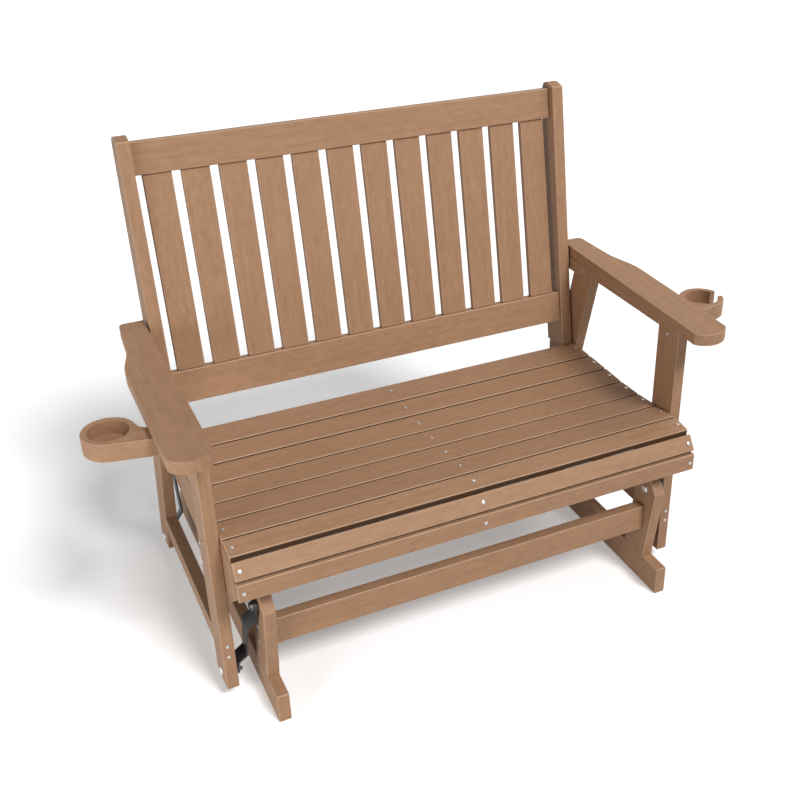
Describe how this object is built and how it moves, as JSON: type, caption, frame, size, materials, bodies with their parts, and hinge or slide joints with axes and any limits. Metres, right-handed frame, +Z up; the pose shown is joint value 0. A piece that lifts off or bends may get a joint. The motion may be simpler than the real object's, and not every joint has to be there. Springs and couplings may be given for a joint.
{
  "type": "outdoor glider chair",
  "caption": "Slatted outdoor glider bench: a seat with arms and cup holders hangs on steel swing links from a base with two runners.",
  "frame": {"origin": "on the floor, under the middle of the bench's bounding box", "axes": "+X across the bench to the right as seen from the front, +Y from the front to the back, +Z up; the seat faces -Y"},
  "size_m": [1.3709, 0.7808, 0.991],
  "materials": {
    "poly_lumber": "light brown plastic lumber with a fine embossed grain",
    "coated_steel": "black powder coat, satin",
    "stainless_steel": "plain stainless steel"
  },
  "bodies": {
    "base": {"left_runner": "poly_lumber", "right_runner": "poly_lumber", "left_front_base_upright": "poly_lumber", "left_rear_base_upright": "poly_lumber", "right_front_base_upright": "poly_lumber", "right_rear_base_upright": "poly_lumber", "front_stretcher": "poly_lumber", "rear_stretcher": "poly_lumber", "left_front_upper_pivot": "stainless_steel", "left_rear_upper_pivot": "stainless_steel", "right_front_upper_pivot": "stainless_steel", "right_rear_upper_pivot": "stainless_steel"},
    "left_front_link": {"left_front_link": "coated_steel"},
    "left_rear_link": {"left_rear_link": "coated_steel"},
    "right_front_link": {"right_front_link": "coated_steel"},
    "right_rear_link": {"right_rear_link": "coated_steel"},
    "seat_frame": {"left_front_post": "poly_lumber", "left_rear_post": "poly_lumber", "left_lower_side_rail": "poly_lumber", "left_arm_rail": "poly_lumber", "left_arm": "poly_lumber", "left_cup_holder": "poly_lumber", "left_seat_rail": "poly_lumber", "left_back_stile": "poly_lumber", "right_front_post": "poly_lumber", "right_rear_post": "poly_lumber", "right_lower_side_rail": "poly_lumber", "right_arm_rail": "poly_lumber", "right_arm": "poly_lumber", "right_cup_holder": "poly_lumber", "right_seat_rail": "poly_lumber", "right_back_stile": "poly_lumber", "centre_seat_rail": "poly_lumber", "lower_back_rail": "poly_lumber", "top_back_rail": "poly_lumber", "seat_slat_1": "poly_lumber", "seat_slat_2": "poly_lumber", "seat_slat_3": "poly_lumber", "seat_slat_4": "poly_lumber", "seat_slat_5": "poly_lumber", "seat_slat_6": "poly_lumber", "seat_slat_7": "poly_lumber", "seat_slat_8": "poly_lumber", "seat_slat_9": "poly_lumber", "back_slat_1": "poly_lumber", "back_slat_2": "poly_lumber", "back_slat_3": "poly_lumber", "back_slat_4": "poly_lumber", "back_slat_5": "poly_lumber", "back_slat_6": "poly_lumber", "back_slat_7": "poly_lumber", "back_slat_8": "poly_lumber", "back_slat_9": "poly_lumber", "back_slat_10": "poly_lumber", "back_slat_11": "poly_lumber", "back_slat_12": "poly_lumber", "left_front_lower_pivot": "stainless_steel", "left_rear_lower_pivot": "stainless_steel", "right_front_lower_pivot": "stainless_steel", "right_rear_lower_pivot": "stainless_steel"}
  },
  "joints": [
    {"name": "left_front_swing", "type": "hinge", "parent": "base", "child": "left_front_link", "pos_m": [-0.4545, -0.31996, 0.24097], "axis": [1, 0, 0], "range_deg": [-12, 12]},
    {"name": "seat_hang", "type": "hinge", "parent": "left_front_link", "child": "seat_frame", "pos_m": [-0.4885, -0.256, 0.052], "axis": [1, 0, 0], "range_deg": [-15.2, 15.2]},
    {"name": "right_front_swing", "type": "hinge", "parent": "base", "child": "right_front_link", "pos_m": [0.4545, -0.31996, 0.24097], "axis": [1, 0, 0], "range_deg": [-12, 12]},
    {"name": "left_rear_swing", "type": "hinge", "parent": "base", "child": "left_rear_link", "pos_m": [-0.4545, 0.29996, 0.24097], "axis": [1, 0, 0], "range_deg": [-12, 12]},
    {"name": "right_rear_swing", "type": "hinge", "parent": "base", "child": "right_rear_link", "pos_m": [0.4545, 0.29996, 0.24097], "axis": [1, 0, 0], "range_deg": [-12, 12]}
  ],
  "couplings": [
    {"joint": "seat_hang", "follows": "left_front_swing", "ratio": -1.26},
    {"joint": "right_front_swing", "follows": "left_front_swing", "ratio": 1},
    {"joint": "left_rear_swing", "follows": "left_front_swing", "ratio": 1},
    {"joint": "right_rear_swing", "follows": "left_front_swing", "ratio": 1}
  ]
}
